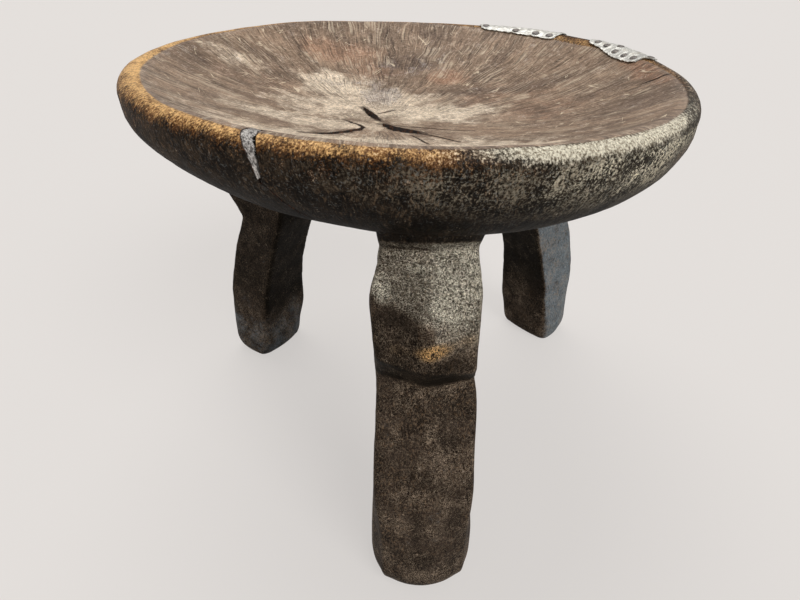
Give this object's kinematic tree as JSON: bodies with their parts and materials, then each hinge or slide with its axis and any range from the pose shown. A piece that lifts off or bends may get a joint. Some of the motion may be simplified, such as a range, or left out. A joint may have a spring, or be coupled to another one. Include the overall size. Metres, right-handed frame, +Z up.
{
  "type": "carved three-legged stool",
  "caption": "Low carved wooden stool: a round dished seat on squared, splayed legs with faceted knees, its cracked rim mended with nailed metal strips.",
  "frame": {"origin": "on the floor, under the middle of the seat", "axes": "+Z up; the single front leg points towards -Y and the two rear legs towards +Y; +X is to the right of someone facing the front leg"},
  "size_m": [0.3568, 0.357, 0.2899],
  "materials": {
    "wood": "hand-carved hardwood, darkened and polished by use, worn paler on the rim",
    "sheet": "thin dented offcut, dull and scratched",
    "nail": "dark oxidised iron",
    "filler": "hardened grey filling, fibrous"
  },
  "bodies": {
    "root": {"stool_body": "wood", "crack_filler": "filler", "rim_strip_left": "sheet", "rim_strip_right": "sheet", "strip_nails": "nail"}
  },
  "joints": []
}
